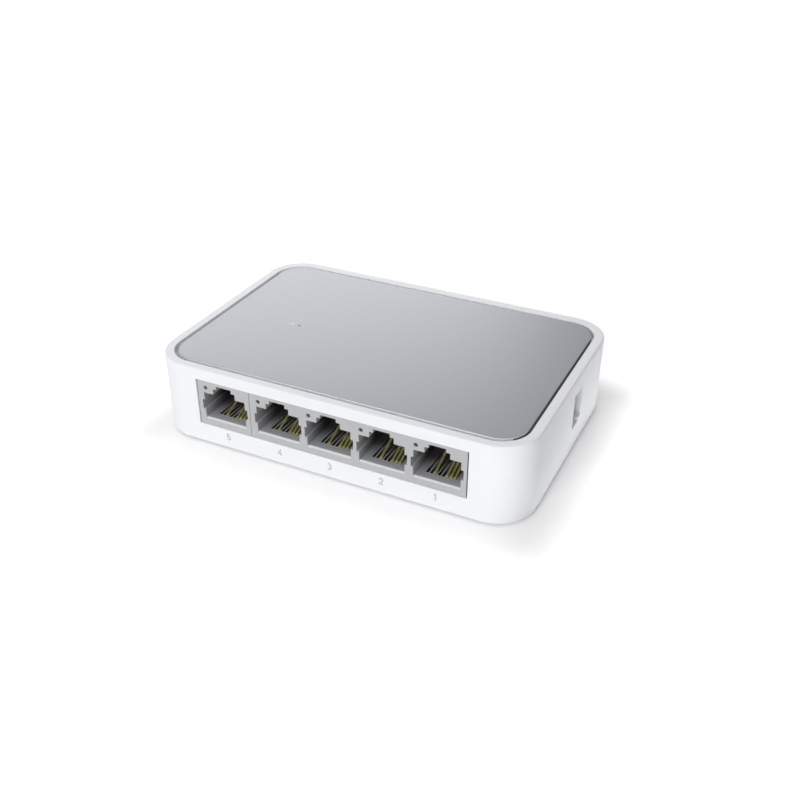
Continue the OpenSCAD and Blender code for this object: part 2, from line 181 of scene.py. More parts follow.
def moulded(name, colour, rough, spread=0.03, grain=0.35, height=0.012, patch=9.0, fade=None, shine=0.5):
    """Moulded plastic: fine spark-eroded grain, faint cloudy colour, uneven gloss, and optionally painted
    shade that darkens it with depth along Y.
    """
    shader = Shader(name, rough, Specular_IOR_Level=shine)
    fine = shader.noise(grain, detail=4.0)
    cloud = shader.noise(patch, detail=2.0)
    shader.colour(cloud, tint(colour, 1 - spread), tint(colour, 1 + spread))
    # Painted shade: darker with depth along Y, where given
    if fade:
        shader.fade(*fade, tint(colour, 0.1))
    shader.gloss(fine, rough - 0.06, rough + 0.06)
    shader.bump(fine, 0.35, height)
    return shader.material


def metal(name, dark, light, rough, metallic=1.0, spread=0.08, grain=0.25, stretch=None, height=0.004):
    """Plated or drawn metal with streaks, tarnish and uneven gloss."""
    shader = Shader(name, rough, metallic)
    streak = shader.noise(grain, detail=4.0, stretch=stretch)
    tarnish = shader.noise(grain * 6, detail=3.0)
    shader.colour(tarnish, dark, light)
    shader.gloss(streak, rough - spread, rough + spread)
    shader.bump(streak, 0.4, height)
    return shader.material


def flaked(name, dark, light, rough):
    """Satin lacquer with fine metal flakes under it."""
    shader = Shader(name, rough, metallic=0.8)
    flake = shader.noise(0.09, detail=2.0, rough=0.7)
    orange_peel = shader.noise(0.8, detail=3.0)
    shader.colour(flake, dark, light, 0.25, 0.75)
    shader.gloss(orange_peel, rough - 0.03, rough + 0.03)
    shader.bump(flake, 0.15, 0.003)
    return shader.material


def board_mask(name):
    """Green solder mask over copper runs: two stretched noises make the run pattern."""
    shader = Shader(name, 0.35)
    runs = shader.noise(2.2, detail=1.0, stretch=(3.0, 0.4, 1.0))
    weave = shader.noise(0.3, detail=3.0)
    shader.colour(runs, (0.012, 0.075, 0.03), (0.03, 0.16, 0.07), 0.47, 0.53)
    shader.gloss(weave, 0.28, 0.42)
    shader.bump(runs, 0.5, 0.03)
    return shader.material


def lens(name, dark, light, rough):
    """Tinted rod with cloudy depth and a slightly uneven polish."""
    shader = Shader(name, rough)
    cloud = shader.noise(0.5, detail=3.0)
    shader.colour(cloud, dark, light)
    shader.gloss(cloud, rough - 0.05, rough + 0.08)
    shader.bump(cloud, 0.2, 0.01)
    return shader.material


WHITE = moulded("case_white", (0.855, 0.865, 0.897), 0.42, spread=0.008, shine=0.3)
BASE_WHITE = moulded("base_white", (0.84, 0.845, 0.865), 0.5, spread=0.01, height=0.02)
PANEL = flaked("panel_grey", (0.191, 0.198, 0.216), (0.219, 0.227, 0.247), 0.36)
# Lighter copy of the panel paint on the bevel: painted highlight along the edge
PANEL_BEVEL_HIGHLIGHT = flaked("panel_bevel_painted_highlight", (0.39, 0.395, 0.41), (0.45, 0.46, 0.48), 0.4)
# Light and dark copies for the panel's sides: painted light at the front and left, painted shade at the
# right and rear
PANEL_SIDE_LIT = moulded("panel_side_painted_light", (0.78, 0.785, 0.795), 0.5, spread=0.05)
PANEL_SIDE_SHADE = moulded("panel_side_painted_shade", (0.08, 0.082, 0.088), 0.55, spread=0.1)
# The jack and comb greys turn dark deeper into the ports: painted shade
JACK = moulded("jack_grey", (0.468, 0.472, 0.486), 0.48, spread=0.02, fade=(FACE + 1.0, FACE + 10.0))
COMB = moulded("comb_grey", (0.46, 0.46, 0.47), 0.5, spread=0.06, grain=0.2, fade=(FACE + 3.5, FACE + 11.0))
# Lighter grey on the sills' chamfers: painted highlight
JACK_EDGE_HIGHLIGHT = moulded("jack_edge_painted_highlight", (0.68, 0.683, 0.695), 0.2, spread=0.02, height=0.004)
# Near-black grey on the comb's empty slots, darkest near the face: painted shade in the recesses
COMB_SLOT_SHADE = moulded(
    "comb_slot_painted_shade", (0.11, 0.11, 0.115), 0.6, spread=0.1, grain=0.2, fade=(FACE + 7.5, FACE + 3.5),
)
GOLD = metal("contact_gold", (0.31, 0.29, 0.105), (0.46, 0.43, 0.18), 0.5, metallic=0.5)
# Darker copy of the contact gold for the tails: painted shade
TAIL_GOLD_SHADE = metal("tail_gold_painted_shade", (0.09, 0.078, 0.028), (0.15, 0.13, 0.05), 0.5, metallic=0.6)
PIPE_GREEN = lens("pipe_green", (0.008, 0.022, 0.016), (0.02, 0.05, 0.036), 0.2)
PIPE_CLEAR = lens("pipe_clear", (0.03, 0.032, 0.034), (0.06, 0.064, 0.066), 0.3)
PRINT = moulded("print_grey", (0.5, 0.5, 0.52), 0.6, spread=0.06, grain=0.15)
PRINT_WHITE = moulded("print_white", (0.86, 0.86, 0.88), 0.6, spread=0.04, grain=0.15)
PLATED = metal("plated_metal", (0.5, 0.5, 0.52), (0.7, 0.7, 0.71), 0.28)
INLET = moulded("inlet_black", (0.02, 0.02, 0.021), 0.4, spread=0.12)
RUBBER = moulded("foot_rubber", (0.03, 0.03, 0.031), 0.75, spread=0.15, grain=0.6, height=0.05)
STEEL = metal("screw_steel", (0.45, 0.45, 0.46), (0.62, 0.62, 0.63), 0.34)
BOARD = board_mask("board_green")
CHIP = moulded("chip_black", (0.018, 0.018, 0.02), 0.55, spread=0.15, grain=0.2)
CAN = metal("can_metal", (0.5, 0.5, 0.5), (0.66, 0.66, 0.67), 0.25, stretch=(1.0, 1.0, 0.2))
SLEEVE = moulded("sleeve_blue", (0.02, 0.03, 0.1), 0.35, spread=0.1)
FERRITE = moulded("ferrite", (0.035, 0.035, 0.038), 0.6, spread=0.2, grain=0.4)
TAN = moulded("chip_tan", (0.25, 0.17, 0.1), 0.5, spread=0.15, grain=0.5, patch=2.0)
LAMP = moulded("light_chip", (0.7, 0.66, 0.45), 0.4, spread=0.08, grain=0.3, patch=1.0)


# Mesh building, in millimetres

def piece(name, bm, materials, body="case", replaces=(), sharp=32.0):
    """Turn a closed mesh into a piece that rides on a body."""
    bmesh.ops.remove_doubles(bm, verts=bm.verts, dist=0.0005)
    bmesh.ops.dissolve_degenerate(bm, dist=0.0005, edges=bm.edges)
    bmesh.ops.recalc_face_normals(bm, faces=bm.faces)
    bm.transform(Matrix.Scale(MM, 4))
    mesh = bpy.data.meshes.new(name)
    bm.to_mesh(mesh)
    bm.free()
    for material in materials:
        mesh.materials.append(material)
    mesh.polygons.foreach_set("use_smooth", [True] * len(mesh.polygons))
    mesh.set_sharp_from_angle(angle=math.radians(sharp))
    obj = bpy.data.objects.new(name, mesh)
    bpy.context.scene.collection.objects.link(obj)
    weight = obj.modifiers.new("flat_faces", "WEIGHTED_NORMAL")
    weight.keep_sharp = True
    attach(obj, body)
    if replaces:
        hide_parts(*replaces)


def outline(width, depth, radius, breaks=None, arc_steps=14):
    """Points and outward normals of a rounded rectangle, anticlockwise from the front left."""
    hx, hy = width / 2, depth / 2
    sides = [
        ((-hx + radius, -hy), (hx - radius, -hy), (0, -1)),
        ((hx, -hy + radius), (hx, hy - radius), (1, 0)),
        ((hx - radius, hy), (-hx + radius, hy), (0, 1)),
        ((-hx, hy - radius), (-hx, -hy + radius), (-1, 0)),
    ]
    ring = []
    for number, (start, end, normal) in enumerate(sides):
        axis = 0 if normal[0] == 0 else 1
        stops = {start[axis], end[axis], *(breaks or {}).get(number, ())}
        for stop in sorted(stops, reverse=end[axis] < start[axis]):
            point = Vector(start)
            point[axis] = stop
            ring.append((point, Vector(normal)))
        centre = Vector(end) - Vector(normal) * radius
        turn = math.atan2(normal[1], normal[0])
        for step in range(1, arc_steps):
            angle = turn + math.pi / 2 * step / arc_steps
            out = Vector((math.cos(angle), math.sin(angle)))
            ring.append((centre + out * radius, out))
    return ring


def quarter(centre, radius, start, steps=5):
    """Quarter turn of (inset, height) points, anticlockwise from an angle in degrees."""
    points = []
    for step in range(steps + 1):
        angle = math.radians(start + 90.0 * step / steps)
        points.append((centre[0] + radius * math.cos(angle), centre[1] + radius * math.sin(angle)))
    return points


def loft(bm, ring, rows, forward=0.0):
    """A vertex for every ring point at every (inset, height) row, moved towards the port wall."""
    grid = []
    for inset, height in rows:
        line = []
        for point, normal in ring:
            spot = point - normal * inset
            line.append(bm.verts.new((spot.x, spot.y - forward, height)))
        grid.append(line)
    return grid


def skin(bm, grid, closed=False, skip=None):
    """Quads between neighbouring rows of a grid whose rows are closed rings."""
    count = len(grid)
    for i in range(count if closed else count - 1):
        upper, lower = grid[i], grid[(i + 1) % count]
        for j in range(len(upper)):
            k = (j + 1) % len(upper)
            corners = (upper[j], lower[j], lower[k], upper[k])
            if skip and skip(sum((v.co for v in corners), Vector()) / 4):
                continue
            bm.faces.new(corners)


def circle(bm, centre, radius, steps, axis="Z"):
    """Ring of vertices around a centre, square to an axis."""
    line = []
    for step in range(steps):
        angle = 2 * math.pi * step / steps
        a, b = radius * math.cos(angle), radius * math.sin(angle)
        offset = {"Z": (a, b, 0), "Y": (a, 0, b)}[axis]
        line.append(bm.verts.new(Vector(centre) + Vector(offset)))
    return line


def lathe(bm, profile, centre, axis="Z", steps=32, closed=False):
    """Turned form from (radius, height) points; open ends are capped."""
    along = {"Z": Vector((0, 0, 1)), "Y": Vector((0, 1, 0))}[axis]
    grid = [circle(bm, Vector(centre) + along * h, max(r, 0.002), steps, axis) for r, h in profile]
    skin(bm, grid, closed)
    if not closed:
        bm.faces.new(grid[0])
        bm.faces.new(reversed(grid[-1]))


def patch(bm, outer, inner):
    """Flat fill between an outer loop and a hole."""
    corners = list(outer) + list(inner)
    for tri in tessellate_polygon([[v.co for v in outer], [v.co for v in inner]]):
        bm.faces.new([corners[index] for index in tri])


def cell_side(cell, axis, side):
    """Lattice places of the corners of one side of a cell."""
    places = []
    for u, v in ((0, 0), (1, 0), (1, 1), (0, 1)):
        place = list(cell)
        place[axis] += side
        place[(axis + 1) % 3] += u
        place[(axis + 2) % 3] += v
        places.append(tuple(place))
    return places


def lattice(lines, filled, skip=None):
    """Boundary quads of the cells of a lattice whose middle is filled."""
    bm = bmesh.new()
    xs, ys, zs = [sorted(set(round(value, 4) for value in line)) for line in lines]
    solid = set()
    for i, j, k in product(range(len(xs) - 1), range(len(ys) - 1), range(len(zs) - 1)):
        if filled((xs[i] + xs[i + 1]) / 2, (ys[j] + ys[j + 1]) / 2, (zs[k] + zs[k + 1]) / 2):
            solid.add((i, j, k))
    verts = {}
    for cell in solid:
        for axis, side in product(range(3), (0, 1)):
            beside = list(cell)
            beside[axis] += 2 * side - 1
            if tuple(beside) in solid:
                continue
            corners = []
            for i, j, k in cell_side(cell, axis, side):
                if (i, j, k) not in verts:
                    verts[i, j, k] = bm.verts.new((xs[i], ys[j], zs[k]))
                corners.append(verts[i, j, k])
            if not (skip and skip(corners, axis, side)):
                bm.faces.new(corners)
    return bm


def round_edges(bm, edges, width, segments):
    bmesh.ops.bevel(
        bm, geom=edges, offset=width, offset_type="OFFSET", segments=segments,
        profile=0.5, affect="EDGES", clamp_overlap=True,
    )


def soften(bm, width, angle=50.0):
    """Round the sharp edges of a mesh."""
    bmesh.ops.recalc_face_normals(bm, faces=bm.faces)
    limit = math.radians(angle)
    pairs = [edge for edge in bm.edges if len(edge.link_faces) == 2]
    round_edges(bm, [edge for edge in pairs if edge.calc_face_angle(0.0) > limit], width, 2)


# Case

def on_inlet_square(middle):
    """True on the square of the rear wall that is filled around the inlet's round hole."""
    x, y, z = middle
    across = max(abs(x - INLET_X), abs(z - INLET_Z))
    return y > REAR - WALL - SLACK and across < INLET_SQUARE


def in_hole(middle):
    """True for a cell of the wall that is cut away."""
    x, y, z = middle
    if y < FRONT + WALL + SLACK:
        return WINDOW[0] < x < WINDOW[1] and WINDOW[2] < z < WINDOW[3]
    if abs(x) > WIDTH / 2 - WALL - SLACK:
        on_ledge = y > LEDGE_Y and z < LEDGE_Z
        return SLOT[0] < y < SLOT[1] and SLOT[2] < z < SLOT[3] and not on_ledge
    return on_inlet_square(middle)


def edge_rows(height, start):
    """Rows of a rounded outer edge of the case."""
    return [(2 * EDGE - x, z) for x, z in quarter((EDGE, height), EDGE, start)[::-1]]


def shell_grid(bm):
    """The shell's skin as a grid, and its rows of wall points outside and inside, from low to high."""
    slot_stops = (SLOT[0], LEDGE_Y, SLOT[1])
    inlet_stops = (INLET_X - INLET_SQUARE, INLET_X + INLET_SQUARE)
    ring = outline(WIDTH, DEPTH, CORNER, {0: WINDOW[:2], 1: slot_stops, 2: inlet_stops, 3: slot_stops})
    levels = sorted({*WINDOW[2:], *SLOT[2:], LEDGE_Z, INLET_Z - INLET_SQUARE, INLET_Z + INLET_SQUARE})
    pocket = [(RIM, WEB_TOP)]
    pocket += quarter((RIM - RIM_ROUND, Z_TOP - RIM_ROUND), RIM_ROUND, 0)
    rows = edge_rows(Z_TOP - EDGE, 0)
    first_out = len(pocket) + len(rows)
    rows += [(0.0, z) for z in reversed(levels)]
    rows += edge_rows(Z_BOTTOM + EDGE, 270)
    rows += [(WALL, Z_BOTTOM)]
    first_in = len(pocket) + len(rows)
    rows += [(WALL, z) for z in levels]
    rows += [(WALL, WEB_BOTTOM)]
    grid = loft(bm, ring, pocket, POCKET_SHIFT) + loft(bm, ring, rows)
    outside = [grid[first_out + n] for n in reversed(range(len(levels)))]
    inside = [grid[first_in + n] for n in range(len(levels))]
    return grid, outside, inside


def close_wall(bm, outside, inside):
    """Faces across the wall around its holes; gives their outer edges and the inlet square's border."""
    count = len(outside[0])

    def middle_of(n, j):
        corners = [outside[a][b % count] for a in (n, n + 1) for b in (j, j + 1)]
        return sum((v.co for v in corners), Vector()) / 4

    cells = [(n, j) for n in range(len(outside) - 1) for j in range(count)]
    open_cells = {cell for cell in cells if in_hole(middle_of(*cell))}
    outer_edges, square = [], set()
    for n, j in open_cells:
        k = (j + 1) % count
        sides = {
            (n, j - 1): ((n, j), (n + 1, j)), (n, j + 1): ((n, k), (n + 1, k)),
            (n - 1, j): ((n, j), (n, k)), (n + 1, j): ((n + 1, j), (n + 1, k)),
        }
        for beside, ends in sides.items():
            if beside in open_cells:
                continue
            if on_inlet_square(middle_of(n, j)):
                square.update(ends)
                continue
            a, b = [outside[level][column] for level, column in ends]
            c, d = [inside[level][column] for level, column in ends]
            bm.faces.new((a, b, d, c))
            outer_edges.append(bm.edges.get((a, b)))
    return outer_edges, square


def cut_inlet(bm, outside, inside, square):
    """Fill the inlet's square around a round hole, which is a little wider behind its rim."""
    def turn(spot):
        place = outside[spot[0]][spot[1]].co
        return math.atan2(place.z - INLET_Z, place.x - INLET_X)

    path = sorted(square, key=turn)
    steps = 2 * ROUND_STEPS
    rings = []
    for radius, y in reversed(quarter((INLET_BORE, -INLET_WIDER), INLET_WIDER, 0)):
        rings.append(circle(bm, (INLET_X, REAR + y, INLET_Z), radius, steps, "Y"))
    rings.append(circle(bm, (INLET_X, REAR - WALL, INLET_Z), INLET_BORE, steps, "Y"))
    skin(bm, rings)
    patch(bm, [outside[n][j] for n, j in path], rings[0])
    patch(bm, [inside[n][j] for n, j in path], rings[-1])


def build_shell():
    bm = bmesh.new()
    grid, outside, inside = shell_grid(bm)
    skin(bm, grid, skip=in_hole)
    bm.faces.new(grid[0])
    bm.faces.new(grid[-1])
    outer_edges, square = close_wall(bm, outside, inside)
    cut_inlet(bm, outside, inside, square)
    bmesh.ops.recalc_face_normals(bm, faces=bm.faces)
    round_edges(bm, outer_edges, HOLE_ROUND, 3)
    low, high = BASE_TOP + BOSS_LIFT, WEB_BOTTOM
    tube = [(BOSS_BORE, low), (BOSS_RADIUS, low), (BOSS_RADIUS, high), (BOSS_BORE, high)]
    for x, y in BOSSES:
        lathe(bm, tube, (x, y, 0), closed=True)
    piece("case_shell", bm, [WHITE], replaces=["shell"])


def panel_finish(middle, side_top, soft):
    """Number of the finish of a face: painted light on the sides at the front and left, painted shade on
    the others, painted highlight on the bevel.
    """
    if middle.z < side_top:
        in_front = middle.y < FRONT + PANEL_INSET + EDGE_REACH
        at_left = middle.x < PANEL_INSET + EDGE_REACH - WIDTH / 2
        return 1 if in_front or at_left else 2
    near_light = (middle.xy - Vector(POWER_LIGHT)).length <= POWER_CLEAR
    return 3 if middle.z < PANEL_TOP - soft and not near_light else 0


def build_panel():
    bm = bmesh.new()
    width, depth = WIDTH - 2 * PANEL_INSET, DEPTH - 2 * PANEL_INSET
    ring = outline(width, depth, CORNER - PANEL_INSET, arc_steps=18)
    side_top, soft, hole_soft = PANEL_TOP - PANEL_CHAMFER, 0.04, 0.06
    sides = [(soft, WEB_TOP), (0.0, WEB_TOP + soft), (0.0, side_top - soft), (soft, side_top + soft)]
    tops = [(PANEL_CHAMFER - soft, PANEL_TOP - soft), (PANEL_CHAMFER + soft, PANEL_TOP)]
    grid = loft(bm, ring, sides) + loft(bm, ring, tops, -CHAMFER_SHIFT)
    skin(bm, grid)
    hole = [(POWER_HOLE, WEB_TOP), (POWER_HOLE, PANEL_TOP - hole_soft), (POWER_HOLE + hole_soft, PANEL_TOP)]
    rings = [circle(bm, (*POWER_LIGHT, z), r, ROUND_STEPS) for r, z in hole]
    skin(bm, rings)
    patch(bm, grid[-1], rings[-1])
    patch(bm, grid[0], rings[0])
    peg = [(PEG_HEAD, WEB_BOTTOM - PEG_HEAD_HEIGHT), (PEG_HEAD, WEB_BOTTOM)]
    peg += [(PEG_RADIUS, WEB_BOTTOM), (PEG_RADIUS, WEB_TOP + PEG_SUNK)]
    for x, y in PEGS:
        lathe(bm, peg, (x, y, 0))
    for face in bm.faces:
        face.material_index = panel_finish(face.calc_center_median(), side_top, soft)
    # Second to fourth finishes: painted light, painted shade and painted highlight
    finishes = [PANEL, PANEL_SIDE_LIT, PANEL_SIDE_SHADE, PANEL_BEVEL_HIGHLIGHT]
    piece("cover_panel", bm, finishes, replaces=["top_panel"])


# Ports

def port_form(px, v, x, z):
    """True where a port is open, at depth v behind the face and height z above the board."""
    u = abs(x - px)
    if v > MOUTH_DEPTH:
        return False
    if u < MOUTH_HALF and MOUTH_LOW < z < MOUTH_HIGH:
        return True
    if any(u < half and MOUTH_LOW < z < top for half, top in LATCH_STEPS):
        return True
    if v < GROOVE_DEPTH and u < GROOVE_HALF and GROOVE_LOW < z < GROOVE_HIGH:
        return True
    return v > COMB_DEPTH and u < COMB_HALF and COMB_LOW < z < MOUTH_HIGH


def jack_lines(ends, ports):
    """Lattice lines of a jack housing along X, Y and Z."""
    xs = list(ends)
    for px in ports:
        for half in (MOUTH_HALF, GROOVE_HALF, COMB_HALF, *(half for half, top in LATCH_STEPS)):
            xs += [px - half, px + half]
        xs += [px + LIGHT_DX - LIGHT_SQUARE, px + LIGHT_DX + LIGHT_SQUARE]
    depths = [0, SILL_CHAMFER, COMB_DEPTH, GROOVE_DEPTH, MOUTH_DEPTH, JACK_DEPTH]
    heights = [0, COMB_LOW, MOUTH_LOW, GROOVE_LOW, GROOVE_HIGH, MOUTH_HIGH, JACK_HEIGHT]
    heights += [top for half, top in LATCH_STEPS]
    heights += [LIGHT_Z - LIGHT_SQUARE, LIGHT_Z + LIGHT_SQUARE]
    return xs, [FACE + v for v in depths], [BOARD_TOP + z for z in heights]


def cut_light_well(bm, px, corners):
    """Fill the open square around a port's light, up to a round tunnel."""
    centre = Vector((px + LIGHT_DX, FACE, BOARD_TOP + LIGHT_Z))
    border = [v for v in corners if max(abs(c) for c in v.co - centre) > LIGHT_SQUARE - 0.001]
    bmesh.ops.delete(bm, geom=list(corners.difference(border)), context="VERTS")
    loop = sorted(border, key=lambda v: math.atan2(v.co.z - centre.z, v.co.x - centre.x))
    mouth = circle(bm, centre, LIGHT_HOLE, ROUND_STEPS, "Y")
    patch(bm, loop, mouth)
    tunnel = circle(bm, centre + Vector((0, LIGHT_TUNNEL, 0)), LIGHT_HOLE, ROUND_STEPS, "Y")
    skin(bm, [mouth, tunnel])
    bm.faces.new(tunnel)


def chamfer_sills(bm, ports):
    """Let the sill of each mouth fall to the face in a small chamfer."""
    near = 1e-4
    for vert in bm.verts:
        on_edge = abs(vert.co.y - FACE) < near and abs(vert.co.z - BOARD_TOP - MOUTH_LOW) < near
        if on_edge and any(abs(vert.co.x - px) < MOUTH_HALF + near for px in ports):
            vert.co.z -= SILL_CHAMFER


def mark_sills(bm):
    """Give the sills' chamfers the second finish, a lighter grey that paints their highlight."""
    bm.normal_update()
    slope = Vector((0, -1, 1)).normalized()
    for face in bm.faces:
        middle = face.calc_center_median()
        v, w = middle.y - FACE, middle.z - BOARD_TOP
        if v < SILL_CHAMFER and abs(w - MOUTH_LOW) < SILL_CHAMFER and face.normal.dot(slope) > 0.95:
            face.material_index = 1


def build_jack(name, node, ends, ports):
    wells = {px: set() for px in ports}

    def filled(x, y, z):
        return not any(port_form(px, y - FACE, x, z - BOARD_TOP) for px in ports)

    def in_well(corners, axis, side):
        """True for the squares of the face around a light, which are left open at first."""
        if axis != 1 or side != 0 or corners[0].co.y > FACE + SLACK:
            return False
        middle = sum((v.co for v in corners), Vector()) / 4
        if abs(middle.z - BOARD_TOP - LIGHT_Z) > LIGHT_SQUARE:
            return False
        for px in ports:
            if abs(middle.x - px - LIGHT_DX) < LIGHT_SQUARE:
                wells[px].update(corners)
                return True
        return False

    bm = lattice(jack_lines(ends, ports), filled, in_well)
    for px, corners in wells.items():
        cut_light_well(bm, px, corners)
    chamfer_sills(bm, ports)
    soften(bm, JACK_ROUND, angle=55.0)
    mark_sills(bm)
    for x in (ends[0] + JACK_PEG_INSET, ends[1] - JACK_PEG_INSET):
        lathe(bm, JACK_PEG, (x, FACE + JACK_PEG_DEPTH, BOARD_TOP))
    piece(name, bm, [JACK, JACK_EDGE_HIGHLIGHT], replaces=[node])


def place_x(place):
    """Place of a contact, from 1 up, beside the middle of its port."""
    return (PLACES - 1) / 2 * PITCH - (place - 1) * PITCH


def build_comb(number, px):
    slots = [px + place_x(place) for place in range(1, PLACES + 1)]
    xs = [px - COMB_PLATE_HALF, px + COMB_PLATE_HALF]
    for middle in slots:
        xs += [middle - COMB_SLOT_HALF, middle + COMB_SLOT_HALF]
    ys = [FACE + v for v in (COMB_FRONT, COMB_LIP, COMB_STEP, COMB_END)]
    zs = [BOARD_TOP + w for w in (COMB_LOW, COMB_SLOT_LOW, MOUTH_LOW)]

    def in_slot(x, reach):
        return any(abs(x - middle) < reach for middle in slots)

    def filled(x, y, z):
        v, w = y - FACE, z - BOARD_TOP
        cut = v > COMB_STEP or (v > COMB_LIP and w > COMB_SLOT_LOW)
        return not (cut and in_slot(x, COMB_SLOT_HALF))

    bm = lattice((xs, ys, zs), filled)
    soften(bm, COMB_ROUND)
    slot_top = BOARD_TOP + MOUTH_LOW - COMB_ROUND / 2
    # Slot faces take the second finish, the painted shade
    for face in bm.faces:
        x, y, z = face.calc_center_median()
        if in_slot(x, COMB_SLOT_HALF + SLACK) and y > FACE + COMB_LIP and z < slot_top:
            face.material_index = 1
    piece(f"port_{number}_floor_comb", bm, [COMB, COMB_SLOT_SHADE], replaces=[f"port_{number}_comb"])


def sweep(bm, path, half_width, half_thick, x):
    """Flat wire with soft edges and narrower ends along a path in the YZ plane."""
    soft, narrow = 0.35, 0.6
    section = []
    for a, b in ((1, 1 - soft), (1 - soft, 1), (-1 + soft, 1), (-1, 1 - soft)):
        section.append((a * half_width, b * half_thick))
    section += [(-a, -b) for a, b in section]
    grid = []
    for number, (y, z) in enumerate(path):
        before = path[max(number - 1, 0)]
        after = path[min(number + 1, len(path) - 1)]
        along = Vector((after[0] - before[0], after[1] - before[1])).normalized()
        shrink = narrow if number in (0, len(path) - 1) else 1.0
        line = []
        for a, b in section:
            b *= shrink
            line.append(bm.verts.new((x + a * shrink, y - along.y * b, z + along.x * b)))
        grid.append(line)
    skin(bm, grid)
    bm.faces.new(grid[0])
    bm.faces.new(reversed(grid[-1]))


def spring_path(root, bend, rise, length, droop, tip_drop):
    """Wire that comes from behind, turns round its root and rises to a drooping tip."""
    path = [(root[0] + behind, root[1] - bend) for behind in (0.35, 0.15)]
    low, top, turn_steps = 270, 90 + rise, 9
    for step in range(turn_steps + 1):
        angle = math.radians(low - (low - top) * step / turn_steps)
        path.append((root[0] + bend * math.cos(angle), root[1] + bend * math.sin(angle)))
    start = path[-1]
    slope = math.radians(rise)
    steps, tip = 14, 0.12
    for step in range(1, steps + 1):
        t = step / steps
        reach = length * t
        fall = droop * t * t + tip_drop * (max(0.0, t - 1 + tip) / tip) ** 2
        path.append((
            start[0] + reach * math.cos(slope) + fall * math.sin(slope),
            start[1] + reach * math.sin(slope) - fall * math.cos(slope),
        ))
    return path


def build_springs(number, px):
    bm = bmesh.new()
    path = spring_path((ROOT_Y, ROOT_Z), bend=0.19, rise=20.0, length=7.6, droop=0.05, tip_drop=0.14)
    for place in LIVE:
        sweep(bm, path, WIRE_HALF, WIRE_HALF_THICK, px + place_x(place))
    piece(
        f"port_{number}_wires", bm, [GOLD], f"port_{number}_contacts",
        [f"port_{number}_springs"], sharp=50.0,
    )


def build_light_pipe(number, px):
    """Rod with a round end that goes back from the jack's face and bends down to the board."""
    bm = bmesh.new()
    bend_steps = 6
    x, z = px + LIGHT_DX, BOARD_TOP + LIGHT_Z
    back = FACE + JACK_DEPTH + PIPE_BEHIND
    rod = [(0.002, 0.1), (0.16, 0.115), (0.3, 0.155), (0.4, 0.21), (0.47, 0.29), (PIPE_RADIUS, 0.4)]
    grid = [circle(bm, (x, FACE + h, z), r, ROUND_STEPS, "Y") for r, h in rod]
    for step in range(bend_steps + 1):
        angle = math.pi / 2 * step / bend_steps
        across, down = math.cos(angle), math.sin(angle)
        centre = Vector((x, back - PIPE_BEND + PIPE_BEND * down, z - PIPE_BEND + PIPE_BEND * across))
        line = []
        for turn in range(ROUND_STEPS):
            a = 2 * math.pi * turn / ROUND_STEPS
            side, up = PIPE_RADIUS * math.cos(a), PIPE_RADIUS * math.sin(a)
            line.append(bm.verts.new(centre + Vector((side, up * down, up * across))))
        grid.append(line)
    grid.append([bm.verts.new((v.co.x, v.co.y, BOARD_TOP + PIPE_FOOT)) for v in grid[-1]])
    skin(bm, grid)
    bm.faces.new(grid[0])
    bm.faces.new(reversed(grid[-1]))
    name = f"port_{number}_light"
    piece(name, bm, [PIPE_GREEN], replaces=[f"port_{number}_light_pipe"])


# Power inlet and feet

def build_inlet():
    bm = bmesh.new()
    pin = [(0.002, -1.2), (0.3, -1.22), (0.62, -1.32), (0.85, -1.5), (0.97, -1.75), (1.0, -2.1)]
    pin += [(1.0, -10.0), (1.2, -10.0), (1.2, -14.2)]
    lathe(bm, pin, (INLET_X, INLET_FACE, INLET_Z), "Y")
    piece("inlet_centre_pin", bm, [PLATED], replaces=["inlet_pin"])

    bm = bmesh.new()
    path = spring_path(LEAF_ROOT, bend=0.2, rise=12.6, length=8.4, droop=0.05, tip_drop=0.25)
    sweep(bm, path, LEAF_HALF, LEAF_HALF_THICK, INLET_X)
    piece(
        "inlet_side_leaf", bm, [PLATED], "inlet_contact", ["inlet_leaf"], sharp=50.0,
    )


def build_feet():
    places = {
        "foot_front_left": (-BOSS_X, -BOSS_Y), "foot_front_right": (BOSS_X, -BOSS_Y),
        "foot_rear_left": (-BOSS_X, BOSS_Y), "foot_rear_right": (BOSS_X, BOSS_Y),
    }
    for node, (x, y) in places.items():
        bm = bmesh.new()
        profile = [(3.1, 0.06), (3.3, 0.0), (3.62, 0.0), (3.86, 0.08), (4.0, 0.28), (4.0, 1.0)]
        lathe(bm, profile, (x, y, 0), steps=2 * ROUND_STEPS)
        piece(f"{node}_pad", bm, [RUBBER], replaces=[node])


# Print

def arc(x, y, radius, start, end, steps=10):
    """Points of an arc between two angles in degrees."""
    turn = [math.radians(start + (end - start) * step / steps) for step in range(steps + 1)]
    return [(x + radius * math.cos(angle), y + radius * math.sin(angle)) for angle in turn]


def stroke(bm, path, half, thick, place):
    """Thin printed stroke along flat points; place gives the spot of a flat point and a height."""
    points = [Vector(point) for point in path]
    steepest, longest = 0.3, 1.6
    sides = []
    for before, after in zip(points, points[1:]):
        along = (after - before).normalized()
        sides.append(Vector((-along.y, along.x)))
    grid = []
    for number, point in enumerate(points):
        first, last = sides[max(number - 1, 0)], sides[min(number, len(sides) - 1)]
        middle = (first + last).normalized()
        out = middle * min(half / max(middle.dot(first), steepest), half * longest)
        low, high = -PRINT_SUNK, thick
        corners = ((point + out, low), (point - out, low), (point - out, high), (point + out, high))
        grid.append([bm.verts.new(place(flat.x, flat.y, height)) for flat, height in corners])
    skin(bm, grid)
    bm.faces.new(grid[0])
    bm.faces.new(reversed(grid[-1]))


